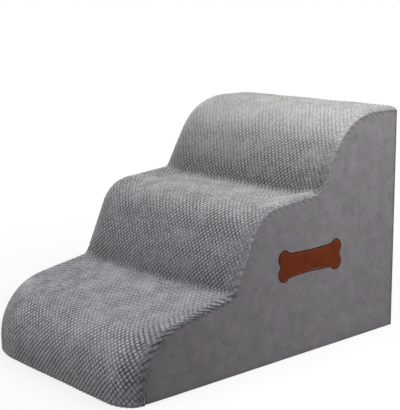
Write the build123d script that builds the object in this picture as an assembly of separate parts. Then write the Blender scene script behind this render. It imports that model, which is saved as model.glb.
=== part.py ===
"""Foam pet stairs: three rounded steps cut from one foam block, inside a zipped fabric cover.

Frame: the origin is the centre of the footprint on the floor. +Y runs from the front to the
rear, +X is the side that carries the bone patch and +Z is up. Lengths are in millimetres.
"""

import math
import os

from build123d import *

# Driving dimensions of the stairs.
overall_length = 612.0
overall_width = 400.0
overall_height = 400.0

# Corners of the side outline before they are rounded, as shares of the length and the height.
lower_nose_share = (0.0, 0.2425)
lower_valley_share = (0.3458, 0.338)
middle_nose_share = (0.4395, 0.652)
upper_valley_share = (0.6639, 0.693)
upper_nose_share = (0.7827, 1.0)

# Rounding of those corners, seen from the side, as shares of the height.
lower_nose_radius_share = 0.2075
valley_radius_share = 0.07
middle_nose_radius_share = 0.175
upper_nose_radius_share = 0.2875
top_rear_radius = 12.0

# Rounding across the width: the rolled edges of the cover and the front corners. Each is a
# quarter of an ellipse with a width along X and a depth. The left side is the rounder one.
right_edge_width = 20.0
right_edge_depth = 7.0
right_corner_width = 45.0
right_corner_depth = 34.0
left_edge_width = 33.0
left_edge_depth = 10.0
left_corner_width = 100.0
left_corner_depth = 55.0
# The lower nose grows rounder by this share of what the front corner draws in.
nose_growth_share = 0.45
# Sections that shape a rounded end, across the rolled edge and across the rest of the corner.
edge_steps = 4
corner_steps = 3

# Cloth layers, from the outside in.
tread_cloth = 3.0
side_cloth = 2.0
rear_cloth = 2.0
bottom_cloth = 2.0
grip_thickness = 0.8
liner_cloth = 0.6
layer_gap = 0.3
zip_slack = 3.0

# The side panels lie this far inside the pile of the tread panel.
side_recess = tread_cloth - side_cloth

# The grip dots end this far inside the footprint.
grip_inset = tread_cloth + side_recess

# Rear seams of the rear panels, as far in as the deeper of the two rolled edges.
rear_seam_inset = left_edge_depth + side_recess

# Zipper, laid along the rear panel.
zipper_height = 60.0
slot_end_margin = 38.0
slot_height = 16.0
tape_height = 15.0
tape_cloth = 0.7
tape_lap = 4.0
chain_end_margin = 12.0
coil_depth = 2.4
coil_height = 2.4
coil_gap = 0.2

# Slider: front plate, back plate, the neck that joins them and the bridge for the pull.
slider_length = 11.0
slider_width = 8.4
front_plate = 1.2
back_plate = 1.0
slider_clearance = 0.35
flange_thickness = 1.0
neck_length = 2.6
neck_width = 2.2
bridge_length = 8.6
bridge_width = 2.0
bridge_bar = 1.1
bridge_window = 3.0
slider_corner_radius = 1.6

# Pull tab, which swings on the bridge.
pull_length = 32.0
pull_width = 8.0
pull_thickness = 1.4
pull_pin_radius = 0.8
pull_arm_width = 1.5
pull_window_length = 8.0
pull_hole_radius = 1.5
pull_hole_setback = 5.0
pull_tip_radius = 3.2

# Zipper stops.
stop_length = 3.0
stop_height = 3.0
stop_plate = 0.9

# Bone patch on the right side panel, centred at shares of the length and the height.
patch_length = 152.0
patch_height = 54.0
patch_waist = 36.0
patch_knob_radius = 14.0
patch_notch_radius = 6.0
patch_thickness = 1.2
patch_place_share = (0.636, 0.4)
thread_inset = 3.0
thread_width = 0.7
thread_height = 0.3

# How far a cutting shape runs past what it cuts.
overrun = 5.0

half_length = overall_length / 2
half_width = overall_width / 2


def outer_corners():
    """Corners of the side outline as (y, z), from the front floor edge round to the rear one."""
    corners = [(-half_length, 0.0)]
    for along, up in (
        lower_nose_share,
        lower_valley_share,
        middle_nose_share,
        upper_valley_share,
        upper_nose_share,
    ):
        corners.append((-half_length + along * overall_length, up * overall_height))
    corners.append((half_length, overall_height))
    corners.append((half_length, 0.0))
    return corners


def inset_corners(front, tread, rear, bottom):
    """The outer corners after each straight has moved inwards by its own inset."""
    corners = outer_corners()
    insets = [front, tread, tread, tread, tread, tread, rear, bottom]
    lines = []
    for (y0, z0), (y1, z1), inset in zip(corners, corners[1:] + corners[:1], insets):
        heading = math.atan2(z1 - z0, y1 - y0)
        rise, run = math.sin(heading), math.cos(heading)
        lines.append((y0 + rise * inset, z0 - run * inset, run, rise))
    meeting = []
    for index, (yb, zb, run_b, rise_b) in enumerate(lines):
        ya, za, run_a, rise_a = lines[index - 1]
        reach = (yb - ya) * rise_b - (zb - za) * run_b
        reach /= run_a * rise_b - rise_a * run_b
        meeting.append((ya + reach * run_a, za + reach * rise_a))
    return meeting


def rounded_face(x, corners, radii):
    """A flat face at one place across the width, with an arc at each corner that has a radius."""
    starts, ends, edges = [], [], []
    for index, (y, z) in enumerate(corners):
        y0, z0 = corners[index - 1]
        y1, z1 = corners[(index + 1) % len(corners)]
        heading_in = math.atan2(z - z0, y - y0)
        heading_out = math.atan2(z1 - z, y1 - y)
        turn = math.remainder(heading_out - heading_in, 2 * math.pi)
        radius = radii[index]
        reach = radius * math.tan(abs(turn) / 2)
        start = (x, y - reach * math.cos(heading_in), z - reach * math.sin(heading_in))
        end = (x, y + reach * math.cos(heading_out), z + reach * math.sin(heading_out))
        starts.append(start)
        ends.append(end)
        if radius:
            inward = heading_in + turn / 2 + math.copysign(math.pi / 2, turn)
            depth = radius / math.cos(turn / 2) - radius
            middle = (x, y + depth * math.cos(inward), z + depth * math.sin(inward))
            edges.append(ThreePointArc(start, middle, end))
    for end, start in zip(ends, starts[1:] + starts[:1]):
        edges.append(Line(end, start))
    return make_face(edges)


def side_outline(x, front, tread, rear, bottom, nose_growth):
    """The rounded side outline at one place across the width, with its straights moved in."""
    radii = [
        0.0,
        lower_nose_radius_share * overall_height - tread + nose_growth,
        valley_radius_share * overall_height + tread,
        middle_nose_radius_share * overall_height - tread,
        valley_radius_share * overall_height + tread,
        upper_nose_radius_share * overall_height - tread,
        top_rear_radius - tread,
        0.0,
    ]
    return rounded_face(x, inset_corners(front, tread, rear, bottom), radii)


def side_rounding(side):
    """Edge width, edge depth, corner width and corner depth of the right or the left side."""
    if side > 0:
        return right_edge_width, right_edge_depth, right_corner_width, right_corner_depth
    return left_edge_width, left_edge_depth, left_corner_width, left_corner_depth


def roll_in(reach, width, depth):
    """How far a rounded edge has drawn in at a reach from the side that it rolls into."""
    if reach >= width:
        return 0.0
    return depth - depth * math.sqrt(1 - (1 - reach / width) ** 2)


def section_reaches(edge_width, corner_width):
    """Reaches from the side for the sections of a rounded end, closer where it curves most."""
    reaches = []
    for step in range(edge_steps):
        reaches.append(edge_width * (1 - math.cos(math.pi / 2 * step / edge_steps)))
    first = math.acos(1 - edge_width / corner_width)
    for step in range(corner_steps + 1):
        angle = first + (math.pi / 2 - first) * step / corner_steps
        reaches.append(corner_width * (1 - math.cos(angle)))
    return reaches


def soft_body(inset, rear, bottom):
    """The whole stair shape moved inwards, with rolled side edges and rounded front corners."""
    half = half_width - inset
    sections = []
    for side in (1, -1):
        widths = [size - inset for size in side_rounding(side)]
        edge_width, edge_depth, corner_width, corner_depth = widths
        for reach in section_reaches(edge_width, corner_width)[::side]:
            edge_roll = roll_in(reach, edge_width, edge_depth)
            corner_roll = roll_in(reach, corner_width, corner_depth)
            sections.append(
                side_outline(
                    side * (half - reach),
                    inset + corner_roll,
                    inset + edge_roll,
                    rear + edge_roll,
                    bottom,
                    nose_growth_share * corner_roll,
                )
            )
    return loft(sections, ruled=True)


def side_plate(side, depth, thickness):
    """The shape of a side panel, from a depth inside the overall width outwards."""
    edge_inset = side_rounding(side)[1] + side_recess
    corner_depth = side_rounding(side)[3]
    outline = side_outline(
        side * (half_width - depth),
        corner_depth + side_recess,
        edge_inset,
        edge_inset,
        grip_thickness,
        nose_growth_share * corner_depth,
    )
    return extrude(outline, amount=thickness, dir=(side, 0, 0))


def block_between(low, high):
    """A box from its lowest corner to its highest corner."""
    size = [top - base for base, top in zip(low, high)]
    return Pos(*low) * Box(*size, align=(Align.MIN, Align.MIN, Align.MIN))


def make_foam_core():
    inset = tread_cloth + liner_cloth + 2 * layer_gap
    bottom = grip_thickness + bottom_cloth + liner_cloth + 2 * layer_gap
    return soft_body(inset, inset + zip_slack, bottom)


def make_foam_liner():
    inset = tread_cloth + layer_gap
    bottom = grip_thickness + bottom_cloth + layer_gap
    outside = soft_body(inset, inset + zip_slack, bottom)
    inside = soft_body(inset + liner_cloth, inset + liner_cloth + zip_slack, bottom + liner_cloth)
    return outside - inside


def make_wrapped_panels():
    """The tread panel, the two rear panels and the bottom panel, cut from one wrapped layer."""
    outside = soft_body(0, 0, grip_thickness)
    inside = soft_body(tread_cloth, rear_cloth, grip_thickness)
    skin = outside - inside
    for side in (1, -1):
        skin -= side_plate(side, tread_cloth + overrun, tread_cloth + 2 * overrun)
    reach = half_width + overrun
    behind = block_between(
        (-reach, half_length - rear_seam_inset - overrun, 0),
        (reach, half_length + overrun, overall_height - rear_seam_inset),
    )
    tread = skin - behind
    rear = skin & behind
    slot_reach = half_width - slot_end_margin
    rear -= block_between(
        (-slot_reach, half_length - rear_seam_inset, zipper_height - slot_height / 2),
        (slot_reach, half_length + overrun, zipper_height + slot_height / 2),
    )
    above = block_between(
        (-reach, half_length - rear_seam_inset - overrun, zipper_height),
        (reach, half_length + overrun, overall_height),
    )
    bottom = inside & block_between(
        (-reach, -overall_length, 0),
        (reach, overall_length, grip_thickness + bottom_cloth),
    )
    return tread, rear & above, rear - above, bottom


def make_side_panel(side):
    """A flat plate. Its outer face lies just inside the pile of the tread panel."""
    return side_plate(side, tread_cloth, side_cloth)


def make_grip_dots():
    """The printed grip dots of the bottom panel, as one thin slab of their height."""
    return soft_body(grip_inset, grip_inset, 0) & block_between(
        (-half_width, -half_length, 0), (half_width, half_length, grip_thickness)
    )


# Levels of the zipper's layers along Y, from its back plate out to its bridge.
tape_front = half_length - rear_cloth
tape_back = tape_front - tape_cloth
back_plate_front = tape_back - slider_clearance
back_plate_back = back_plate_front - back_plate
coil_front = tape_front + coil_depth
front_plate_back = coil_front + slider_clearance
front_plate_front = front_plate_back + front_plate
pin_level = front_plate_front + slider_clearance + pull_pin_radius
bridge_under = front_plate_front + bridge_window
bridge_top = bridge_under + bridge_bar

# Places of the zipper's parts along X, with the slider at its closed end.
tape_reach = half_width - slot_end_margin + tape_lap
chain_start = slot_end_margin + chain_end_margin - half_width
slider_front = half_width - slot_end_margin - chain_end_margin
slider_centre = slider_front - slider_length / 2
neck_back = slider_front - neck_length
chain_end = neck_back - slider_clearance
parted_edge = neck_width / 2 + slider_clearance


def below_zipper(shape):
    """The mirror image of a part above the zipper's centre line."""
    return mirror(shape, about=Plane((0, 0, zipper_height), z_dir=(0, 0, 1)))


def make_upper_tape():
    """The upper tape. Its edge leaves room for the slider's neck, and the coil bridges the rest."""
    return block_between(
        (-tape_reach, tape_back, zipper_height + parted_edge),
        (tape_reach, tape_front, zipper_height + tape_height),
    )


def make_upper_coil():
    """The upper half of the interlocked chain, as a plain bar on the edge of its tape."""
    return block_between(
        (chain_start, tape_front, zipper_height + coil_gap / 2),
        (chain_end, coil_front, zipper_height + coil_gap / 2 + coil_height),
    )


def make_top_stops():
    """Two metal clips on the edges of the tapes, where the slider ends when closed."""
    upper = block_between(
        (slider_front + slider_clearance, tape_front, zipper_height + parted_edge),
        (
            slider_front + slider_clearance + stop_length,
            tape_front + stop_plate,
            zipper_height + parted_edge + stop_height,
        ),
    )
    return Compound(children=[upper, below_zipper(upper)])


def make_bottom_stop():
    """A clip across both tapes, where the slider ends when open."""
    return block_between(
        (chain_start - stop_length, tape_front, zipper_height - stop_height),
        (chain_start, coil_front, zipper_height + stop_height),
    )


def slider_plate(back, front):
    """One plate of the slider, with rounded corners."""
    plate = block_between(
        (slider_front - slider_length, back, zipper_height - slider_width / 2),
        (slider_front, front, zipper_height + slider_width / 2),
    )
    return fillet(plate.edges().filter_by(Axis.Y), radius=slider_corner_radius)


def make_zipper_slider():
    body = slider_plate(front_plate_back, front_plate_front)
    body += slider_plate(back_plate_back, back_plate_front)
    flange = block_between(
        (
            slider_front - slider_length + slider_corner_radius,
            tape_front + slider_clearance,
            zipper_height + slider_width / 2 - flange_thickness,
        ),
        (slider_front - slider_corner_radius, front_plate_back, zipper_height + slider_width / 2),
    )
    body += flange
    body += below_zipper(flange)
    body += block_between(
        (neck_back, back_plate_front, zipper_height - neck_width / 2),
        (slider_front, front_plate_back, zipper_height + neck_width / 2),
    )
    half_bridge = bridge_length / 2
    arch = block_between(
        (slider_centre - half_bridge, front_plate_front, zipper_height - bridge_width / 2),
        (slider_centre + half_bridge, bridge_top, zipper_height + bridge_width / 2),
    )
    arch = fillet(arch.edges().filter_by(Axis.Z).group_by(Axis.Y)[-1], radius=bridge_bar)
    arch -= block_between(
        (slider_centre - half_bridge + bridge_bar, front_plate_front, 0),
        (slider_centre + half_bridge - bridge_bar, bridge_under, overall_height),
    )
    return body + arch


def make_zipper_pull():
    """The pull tab, lying flat over the chain. Its cross pin runs under the bridge."""
    tab = block_between(
        (slider_centre - pull_length, pin_level - pull_thickness / 2, zipper_height - pull_width / 2),
        (slider_centre, pin_level + pull_thickness / 2, zipper_height + pull_width / 2),
    )
    tip_edges = tab.edges().filter_by(Axis.Y).group_by(Axis.X)[0]
    tab = fillet(tip_edges, radius=pull_tip_radius)
    half_window = pull_width / 2 - pull_arm_width
    tab -= block_between(
        (slider_centre - pull_window_length, 0, zipper_height - half_window),
        (slider_centre + overrun, overall_length, zipper_height + half_window),
    )
    hole_place = Pos(slider_centre - pull_length + pull_hole_setback, pin_level, zipper_height)
    hole = hole_place * Rot(90, 0, 0) * Cylinder(pull_hole_radius, pull_thickness + overrun)
    pin = Pos(slider_centre, pin_level, zipper_height) * Cylinder(pull_pin_radius, pull_width)
    return tab - hole + pin


def bone_outline(inset):
    """A bone as a flat face round the origin: four knobs joined by tangent hollow arcs."""
    knob = patch_knob_radius
    along = patch_length / 2 - knob
    up = patch_height / 2 - knob
    dip = patch_waist / 2 - up
    scoop = (along**2 + dip**2 - knob**2) / (2 * (knob - dip))
    scoop_up = scoop + patch_waist / 2
    notch = patch_notch_radius
    notch_along = along + math.sqrt((knob + notch) ** 2 - up**2)
    notch_heading = math.atan2(-up, notch_along - along)
    scoop_heading = math.atan2(scoop_up - up, -along)
    middle_heading = (notch_heading + scoop_heading) / 2
    radius = knob - inset

    def on_knob(heading, right, top):
        """A point on the edge of one of the four knobs."""
        y = along + radius * math.cos(heading)
        z = up + radius * math.sin(heading)
        return (right * y, top * z)

    edges = []
    for top in (1, -1):
        edges.append(
            ThreePointArc(
                on_knob(scoop_heading, -1, top),
                (0, top * (patch_waist / 2 - inset)),
                on_knob(scoop_heading, 1, top),
            )
        )
        for right in (1, -1):
            edges.append(
                ThreePointArc(
                    on_knob(scoop_heading, right, top),
                    on_knob(middle_heading, right, top),
                    on_knob(notch_heading, right, top),
                )
            )
    for right in (1, -1):
        edges.append(
            ThreePointArc(
                on_knob(notch_heading, right, 1),
                (right * (notch_along - notch - inset), 0),
                on_knob(notch_heading, right, -1),
            )
        )
    return make_face(edges)


def on_right_side(level):
    """The plane of the patch, at a distance out from the face of the right side panel."""
    along, up = patch_place_share
    place = (half_width - side_recess + level, along * overall_length - half_length, up * overall_height)
    return Plane(place, x_dir=(0, 1, 0), z_dir=(1, 0, 0))


def make_bone_patch():
    return extrude(on_right_side(0) * bone_outline(0), amount=patch_thickness)


def make_patch_thread():
    """The line of stitches that holds the patch, as one raised ring."""
    ring = bone_outline(thread_inset) - bone_outline(thread_inset + thread_width)
    return extrude(on_right_side(patch_thickness) * ring, amount=thread_height)


def main():
    tread_panel, rear_upper, rear_lower, bottom_panel = make_wrapped_panels()
    upper_tape = make_upper_tape()
    upper_coil = make_upper_coil()
    nodes = {
        "foam_core": make_foam_core(),
        "foam_liner": make_foam_liner(),
        "tread_panel": tread_panel,
        "side_panel_right": make_side_panel(1),
        "side_panel_left": make_side_panel(-1),
        "rear_panel_upper": rear_upper,
        "rear_panel_lower": rear_lower,
        "bottom_panel": bottom_panel,
        "grip_dots": make_grip_dots(),
        "zipper_tape_upper": upper_tape,
        "zipper_tape_lower": below_zipper(upper_tape),
        "zipper_coil_upper": upper_coil,
        "zipper_coil_lower": below_zipper(upper_coil),
        "zipper_top_stops": make_top_stops(),
        "zipper_bottom_stop": make_bottom_stop(),
        "zipper_slider": make_zipper_slider(),
        "zipper_pull": make_zipper_pull(),
        "bone_patch": make_bone_patch(),
        "patch_thread": make_patch_thread(),
    }
    os.makedirs("parts", exist_ok=True)
    for name, shape in nodes.items():
        export_step(shape, f"parts/{name}.step")


main()
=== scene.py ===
"""Foam pet stairs in a zipped cover of diamond plush and short suede, with a leather bone patch."""

import math

import bmesh
import bpy
from mathutils import Matrix, Vector, noise


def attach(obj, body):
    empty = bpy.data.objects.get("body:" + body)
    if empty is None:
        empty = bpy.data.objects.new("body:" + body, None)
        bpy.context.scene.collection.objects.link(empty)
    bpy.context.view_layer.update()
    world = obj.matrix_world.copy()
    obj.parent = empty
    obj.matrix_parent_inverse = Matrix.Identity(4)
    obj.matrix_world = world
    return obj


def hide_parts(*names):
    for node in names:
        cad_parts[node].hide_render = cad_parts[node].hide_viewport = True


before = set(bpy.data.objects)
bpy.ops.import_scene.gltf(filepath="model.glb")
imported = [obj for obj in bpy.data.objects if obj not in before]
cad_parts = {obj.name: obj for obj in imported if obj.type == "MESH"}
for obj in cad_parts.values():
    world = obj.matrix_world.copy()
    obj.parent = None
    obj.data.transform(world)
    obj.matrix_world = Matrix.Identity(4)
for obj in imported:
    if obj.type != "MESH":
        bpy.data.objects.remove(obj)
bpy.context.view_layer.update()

mm = 0.001

# The stairs, in millimetres: outer corners of the side outline and the radius that rounds each.
half_length, half_width, top_level = 306.0, 200.0, 400.0
outline_corners = [
    (-half_length, 0.0),
    (-half_length, 97.0),
    (-94.37, 135.2),
    (-37.03, 260.8),
    (100.31, 277.2),
    (173.01, top_level),
    (half_length, top_level),
    (half_length, 0.0),
]
nose_radius, valley_radius, middle_radius, upper_radius, rear_radius = 83.0, 11.0, 70.0, 115.0, 12.0
nose_growth = 0.45

# Which of the outline's corners are valleys, and which of its runs and arcs are the risers and
# the arc at the rear.
valleys, risers, rear_arc = (2, 4), (4, 8), 11

# Rounding across the width on the right (1) and the left (-1): edge width and depth, corner
# width and depth.
side_rounding = {1: (20.0, 7.0, 45.0, 34.0), -1: (33.0, 10.0, 100.0, 55.0)}

# Cloth: its foot above the floor, the seams inside the edges, the diamonds of the plush with the
# mesh steps over one of them, and the pitch of the strokes along the seam of the lowest step.
cloth_foot = 0.8
seam_recess = 1.0
rear_seam_level = 389.0
bead_width, bead_length = 8.84, 10.0
bead_steps = 6
stroke_pitch = 14.0

# How far the valleys have sunk, at their ends and more towards the middle of the width, and how
# far a riser bulges.
lower_sink, upper_sink_at_ends, upper_sink = 7.0, 3.0, 12.0
riser_bulge = 6.5

# The strip of plush: its length and its share of the arc at the rear. Then its sideways drift
# for each step along it, and the painted light and shade on it, pale over the noses and dark in
# the valleys, at places along it from its front foot.
strip_length = 834.0
rear_arc_share = 0.947
drift_knots = [(0, 0), (285, 0), (330, 0.08), (430, 0.04), (530, 0.08), (590, 0.24), (660, 0.18), (760, 0)]
painted_light_levels = [
    (0, 1.3),
    (50, 1.27),
    (78, 1.38),
    (105, 1.27),
    (145, 1.05),
    (200, 1.03),
    (262, 1.05),
    (285, 0.82),
    (298, 0.88),
    (320, 0.96),
    (345, 1.0),
    (375, 1.12),
    (462, 1.1),
    (530, 1.03),
    (556, 0.8),
    (574, 0.76),
    (600, 0.86),
    (620, 1.06),
    (640, 1.28),
    (662, 1.5),
    (700, 1.6),
    (730, 1.5),
    (763, 1.06),
    (strip_length, 1.0),
]

# Zipper: the middle of its slot, half its opening, the reach of the slot, the tapes and the
# chain, and where the slider's neck stands when the zipper is open. Then the place of the tapes
# and how far they draw together beyond the chain, and the place, length and pitch of the coils.
zip_level, slot_half, slot_reach, tape_reach, chain_reach = 60.0, 8.0, 162.0, 166.0, 151.5
open_neck = -139.3
tape_depth, tape_closing = 303.85, 1.45
coil_depth, coil_offset, coil_start, coil_length, coil_pitch = 305.2, 1.25, -149.4, 296.0, 1.3
coil_parting, coil_squeeze = 0.9, 0.46

# Bottom: how far its cloth stands inside the stairs' edges, and how far its dots stand inside
# the cloth's front and rear and inside the stairs' sides. Then the dots' pitch and size.
bottom_inset, dot_margin, dot_side_margin = 3.0, 9.0, 14.0
dot_pitch, dot_radius, dot_height = 9.0, 1.7, 0.85

# How far the liner and the foam stand inside the cover, how thick the suede and the tapes are,
# and the pitch, length and thickness of the stitches along the slot and round the patch.
liner_inset, foam_inset = 3.4, 4.3
suede_thickness, tape_thickness = 2.0, 0.6
slot_stitch, patch_stitch = (3.4, 2.5, 0.7), (3.0, 2.2, 0.55)

# Patch: its middle on the right side, and the bone's length, height, waist and radii.
patch_middle = (83.2, 160.0)
bone_length, bone_height, bone_waist, knob_radius, notch_radius = 152.0, 54.0, 38.0, 14.0, 6.0
bone_flare, neck_radius = 0.035, 9.0
patch_floor, patch_seam = 199.3, 3.4

# Camera: where it stands in metres, its azimuth, elevation and roll in degrees, and its focal
# length and shift in pixels of a picture of this size.
camera_place = (1.356, -1.173, 0.598)
camera_angles = (48.66, 11.5, -0.44)
picture_size, focal_length, shift_right, shift_up = 410.0, 1056.0, -2.1, 1.2


def spaced(first, last, steps):
    """Values an even step apart, from the first to the last."""
    return [first + (last - first) * n / steps for n in range(steps + 1)]


def eased(share):
    """0 to 1 with a soft start and a soft end."""
    share = min(1.0, max(0.0, share))
    return share * share * (3 - 2 * share)


def plain(title):
    """A socket's title as a name."""
    return title.lower().replace(" ", "_")


# Node trees


class Field:
    """What a node puts out. Sums, differences and products of fields become math nodes."""

    def __init__(self, graph, socket):
        self.graph = graph
        self.socket = socket

    def __add__(self, other):
        return self.graph.math("ADD", self, other)

    def __sub__(self, other):
        return self.graph.math("SUBTRACT", self, other)

    def __rsub__(self, other):
        return self.graph.math("SUBTRACT", other, self)

    def __mul__(self, other):
        return self.graph.math("MULTIPLY", self, other)

    __rmul__ = __mul__


class Graph:
    """A node tree, with short calls that add a node and give back what it puts out."""

    def __init__(self, tree):
        self.tree = tree

    def put(self, value, socket):
        """Link a field to a socket, or set a plain value there."""
        if isinstance(value, Field):
            self.tree.links.new(value.socket, socket)
        else:
            socket.default_value = value

    def node(self, kind, inputs=None, **settings):
        made = self.tree.nodes.new(kind)
        for name, value in settings.items():
            setattr(made, name, value)
        for name, value in (inputs or {}).items():
            self.put(value, made.inputs[name])
        return made

    def field(self, kind, inputs=None, output=0, **settings):
        """One output of a new node."""
        return Field(self, self.node(kind, inputs, **settings).outputs[output])

    def use(self, group, **values):
        """A node group with these values: its outputs, in their order."""
        made = self.node("ShaderNodeGroup", None, node_tree=group)
        for socket in made.inputs:
            self.put(values[plain(socket.name)], socket)
        return [Field(self, socket) for socket in made.outputs]

    def math(self, operation, first, second=0.0):
        return self.field("ShaderNodeMath", {0: first, 1: second}, operation=operation)

    def wave(self, phase, pitch):
        """A sine that comes round once in each pitch."""
        return self.math("SINE", phase * (2 * math.pi / pitch))

    def parts(self, vector):
        """The three parts of a vector."""
        return [Field(self, socket) for socket in self.node("ShaderNodeSeparateXYZ", {0: vector}).outputs]

    def vector(self, x, y, z):
        return self.field("ShaderNodeCombineXYZ", {0: x, 1: y, 2: z})

    def place(self):
        return self.field("ShaderNodeTexCoord", None, "Object")

    def cloth_map(self, title):
        """The parts of a place on a piece's own map."""
        return self.parts(self.field("ShaderNodeUVMap", uv_map=title))

    def blend(self, factor, first, second, kind="MIX"):
        inputs = {0: factor, 6: first, 7: second}
        return self.field("ShaderNodeMix", inputs, 2, data_type="RGBA", blend_type=kind)

    def shaded(self, colour, shade):
        """The colour made lighter or darker by a factor near one."""
        grey = self.field("ShaderNodeCombineColor", {0: shade, 1: shade, 2: shade})
        return self.blend(1.0, colour, grey, "MULTIPLY")

    def spread(self, value, low, high, to_low=0.0, to_high=1.0):
        """A value between low and high, as one between two others."""
        names = {"Value": value, "From Min": low, "From Max": high, "To Min": to_low, "To Max": to_high}
        return self.field("ShaderNodeMapRange", names, clamp=True)

    def noise(self, vector, size, detail=3.0, roughness=0.55):
        """Noise with spots of about this size in millimetres."""
        inputs = {"Vector": vector, "Scale": 1 / (size * mm), "Detail": detail, "Roughness": roughness}
        return self.field("ShaderNodeTexNoise", inputs, "Fac")


socket_kinds = {float: "NodeSocketFloat", tuple: "NodeSocketVector"}


def group_tree(name, kind, inputs, outputs):
    """A new node group: its graph, the fields that it is given and the sockets that it fills.

    Each named input has a value, or a kind of socket, and each named output a kind."""
    tree = bpy.data.node_groups.new(name, kind)
    for title, value in inputs.items():
        socket_kind = socket_kinds.get(type(value), value)
        socket = tree.interface.new_socket(title, in_out="INPUT", socket_type=socket_kind)
        if value != socket_kind:
            socket.default_value = value
    for title, socket_kind in outputs.items():
        tree.interface.new_socket(title, in_out="OUTPUT", socket_type=socket_kind)
    graph = Graph(tree)
    given = graph.node("NodeGroupInput").outputs
    fields = {title: Field(graph, given[title]) for title in inputs}
    return graph, fields, graph.node("NodeGroupOutput").inputs


def bead_relief(graph, across, along):
    """Height of the plush, from 0 in a groove to 1 on a bead, at a place counted in beads.

    The grooves run along both diagonals, so the beads are diamonds in staggered rows."""
    heights = []
    for diagonal in (across + along, across - along):
        off_middle = graph.math("ABSOLUTE", graph.math("FRACT", diagonal) * 2.0 - 1.0)
        heights.append(1.0 - graph.math("POWER", off_middle, 2.2))
    return heights[0] * heights[1]


def pressed_patches(graph, place):
    """1 in soft patches where use has pressed the plush flat, and 0 between them."""
    return graph.spread(graph.noise(place, 38.0, 4.0, 0.62), 0.44, 0.63)


def seam_strokes(graph, along, inside):
    """1 on the slanted strokes that the tight seam of the lowest step presses into the plush."""
    near = graph.spread(inside, 8.0, 16.0, 1.0, 0.0) * graph.spread(along, 240.0, 320.0, 1.0, 0.15)
    strength = near * graph.spread(along, 20.0, 130.0, 0.35, 1.0)
    return graph.spread(graph.wave(inside * 0.6 + along, stroke_pitch), 0.1, 0.5) * strength


def seam_flattening(graph, inside):
    """Share of the beads' height that is left at a distance from the seam."""
    return graph.spread(inside, 4.0, 30.0, 0.2, 1.0)


# Finishes


def paint(red, green, blue):
    """A colour from its values between 0 and 255 on a screen."""
    shares = [value / 255 for value in (red, green, blue)]
    linear = [s / 12.92 if s <= 0.04045 else ((s + 0.055) / 1.055) ** 2.4 for s in shares]
    return (*linear, 1.0)


def shader_group(name, inputs, *outputs):
    """A node group for materials, which puts out values."""
    return group_tree(name, "ShaderNodeTree", inputs, dict.fromkeys(outputs, "NodeSocketFloat"))


def make_pile_group():
    """Short fibres that lie in patches: a height for the bump and a light and dark shade."""
    sizes = {"Place": "NodeSocketVector", "Fibre per metre": 900.0, "Patch per metre": 30.0, "Contrast": 0.2}
    graph, given, made = shader_group("short pile", sizes, "Height", "Shade", "Patch")
    fibres = {"Vector": given["Place"], "Scale": given["Fibre per metre"], "Detail": 4.0, "Roughness": 0.7}
    patches = {"Vector": given["Place"], "Scale": given["Patch per metre"], "Detail": 5.0}
    fine = graph.field("ShaderNodeTexNoise", fibres, "Fac")
    patch = graph.field("ShaderNodeTexNoise", {**patches, "Roughness": 0.62, "Distortion": 0.6}, "Fac")
    swing = fine * 0.35 + patch * 0.65 - 0.5
    graph.put(fine, made["Height"])
    graph.put(swing * (given["Contrast"] * 4.0) + 1.0, made["Shade"])
    graph.put(patch, made["Patch"])
    return graph.tree


def make_weave_group():
    """Plain weave on a flat place: a height for the bump and the shade of its threads."""
    sizes = {"Along": 0.0, "Across": 0.0, "Threads per metre": 1500.0}
    graph, given, made = shader_group("plain weave", sizes, "Height", "Shade")
    turns = [graph.wave(given[axis] * given["Threads per metre"], 2.0) for axis in ("Along", "Across")]
    height = turns[0] * turns[1] * 0.5 + 0.5
    graph.put(height, made["Height"])
    graph.put(graph.spread(height, 0.0, 1.0, 0.78, 1.1), made["Shade"])
    return graph.tree


def make_seam_shadow_group():
    """Painted shadow along a seam: the lightness that is left at a distance from it, darkest on the lowest
    step.
    """
    graph, given, made = shader_group("seam crease", {"Along": 0.0, "Inside": 0.0}, "Shade")
    darkest_shadow = graph.spread(given["Along"], 230.0, 320.0, 0.4, 1.0)
    graph.put(graph.spread(given["Inside"], 0.2, 2.2, darkest_shadow, 1.0), made["Shade"])
    return graph.tree


pile_group = make_pile_group()
weave_group = make_weave_group()
seam_shadow_group = make_seam_shadow_group()


class Finish(Graph):
    """A material with one Principled shader, whose constants are set on its own sockets."""

    def __init__(self, name, **constants):
        self.material = bpy.data.materials.new(name)
        self.material.use_nodes = True
        super().__init__(self.material.node_tree)
        self.shader = self.tree.nodes["Principled BSDF"].inputs
        for title, value in constants.items():
            self.shader[title.replace("_", " ")].default_value = value

    def pile(self, fibres, patches, contrast):
        """Height, shade and patches of short fibres, with this many of each in a metre."""
        counts = {"fibre_per_metre": fibres, "patch_per_metre": patches}
        return self.use(pile_group, place=self.place(), contrast=contrast, **counts)

    def close(self, colour, height, distance, strength=1.0, roughness=None):
        """Link the colour, a bump of this height in millimetres and, where given, the roughness."""
        bump = {"Height": height, "Distance": distance * mm, "Strength": strength}
        self.put(colour, self.shader["Base Color"])
        self.put(self.field("ShaderNodeBump", bump), self.shader["Normal"])
        if roughness is not None:
            self.put(roughness, self.shader["Roughness"])
        return self.material


def painted_light_tone(graph, along):
    """Painted light and shade along the strip: pale over the noses and dark in the valleys."""
    tone = graph.node("ShaderNodeFloatCurve", {"Value": graph.spread(along, 0.0, strip_length)})
    points = tone.mapping.curves[0].points
    for at, lightness in painted_light_levels:
        share = at / strip_length
        if share in (0.0, 1.0):
            points[int(share)].location = (share, lightness / 2)
        else:
            points.new(share, lightness / 2)
    tone.mapping.update()
    return Field(graph, tone.outputs[0]) * 2.0


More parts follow.
